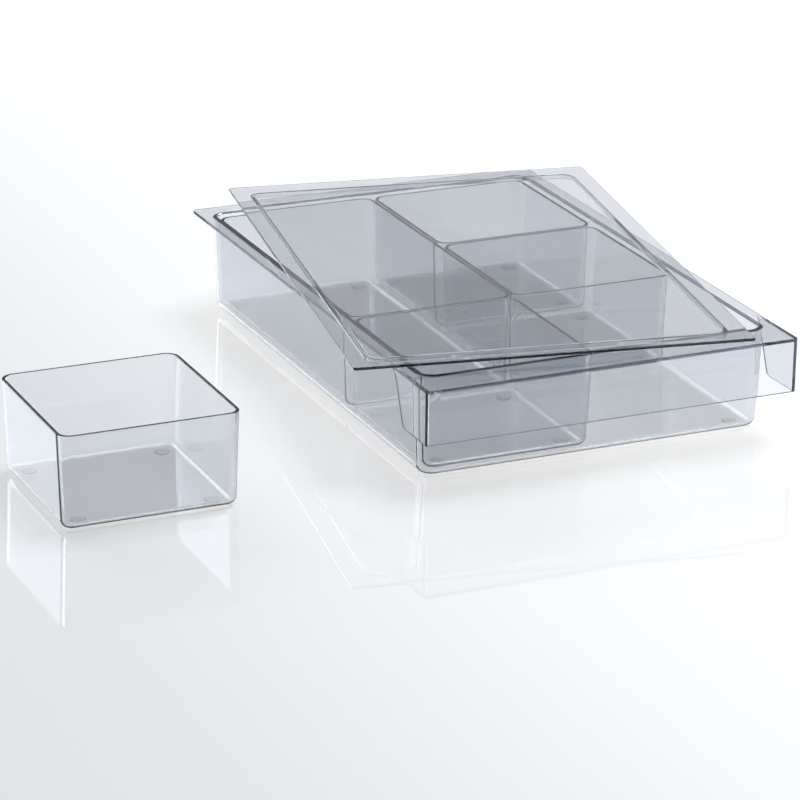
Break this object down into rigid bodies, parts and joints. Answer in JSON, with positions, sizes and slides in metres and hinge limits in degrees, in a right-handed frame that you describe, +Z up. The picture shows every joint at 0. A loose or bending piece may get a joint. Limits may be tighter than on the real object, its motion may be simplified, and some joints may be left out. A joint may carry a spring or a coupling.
{
  "type": "drawer organizer set",
  "caption": "Clear moulded drawer tub with a flange and a front pull skirt, holding open square and long bins, with a flat lid lying askew on top and a loose bin beside it.",
  "frame": {"origin": "bottom centre of the box around the whole set, on the plane the tub and the loose bin stand on", "axes": "+X to the right seen from the pull skirt, +Y from the pull skirt towards the tub's back, +Z up"},
  "size_m": [0.5207, 0.4226, 0.0744],
  "materials": {
    "clear_plastic": "polished clear",
    "clear_feet": "smooth clear"
  },
  "bodies": {
    "tub": {"drawer_tub": "clear_plastic", "tub_feet": "clear_feet"},
    "lid": {"lid": "clear_plastic", "lid_ring": "clear_plastic"},
    "long_bin": {"long_bin": "clear_plastic", "long_bin_feet": "clear_feet"},
    "rear_bin": {"rear_bin": "clear_plastic", "rear_bin_feet": "clear_feet"},
    "middle_bin": {"middle_bin": "clear_plastic", "middle_bin_feet": "clear_feet"},
    "front_bin": {"front_bin": "clear_plastic", "front_bin_feet": "clear_feet"},
    "loose_bin": {"loose_bin": "clear_plastic", "loose_bin_feet": "clear_feet"}
  },
  "joints": [
    {"name": "lid_lift", "type": "slide", "parent": "tub", "child": "lid", "axis": [0, 0, 1], "range_m": [0, 0.2]},
    {"name": "long_bin_lift", "type": "slide", "parent": "tub", "child": "long_bin", "axis": [0, 0, 1], "range_m": [0, 0.085]},
    {"name": "rear_bin_lift", "type": "slide", "parent": "tub", "child": "rear_bin", "axis": [0, 0, 1], "range_m": [0, 0.085]},
    {"name": "middle_bin_lift", "type": "slide", "parent": "tub", "child": "middle_bin", "axis": [0, 0, 1], "range_m": [0, 0.085]},
    {"name": "front_bin_lift", "type": "slide", "parent": "tub", "child": "front_bin", "axis": [0, 0, 1], "range_m": [0, 0.085]},
    {"name": "loose_bin_lift", "type": "slide", "parent": "tub", "child": "loose_bin", "axis": [0, 0, 1], "range_m": [0, 0.1]}
  ],
  "couplings": [
    {"joint": "long_bin_lift", "follows": "lid_lift", "ratio": 0.425},
    {"joint": "rear_bin_lift", "follows": "lid_lift", "ratio": 0.425},
    {"joint": "middle_bin_lift", "follows": "lid_lift", "ratio": 0.425},
    {"joint": "front_bin_lift", "follows": "lid_lift", "ratio": 0.425}
  ]
}
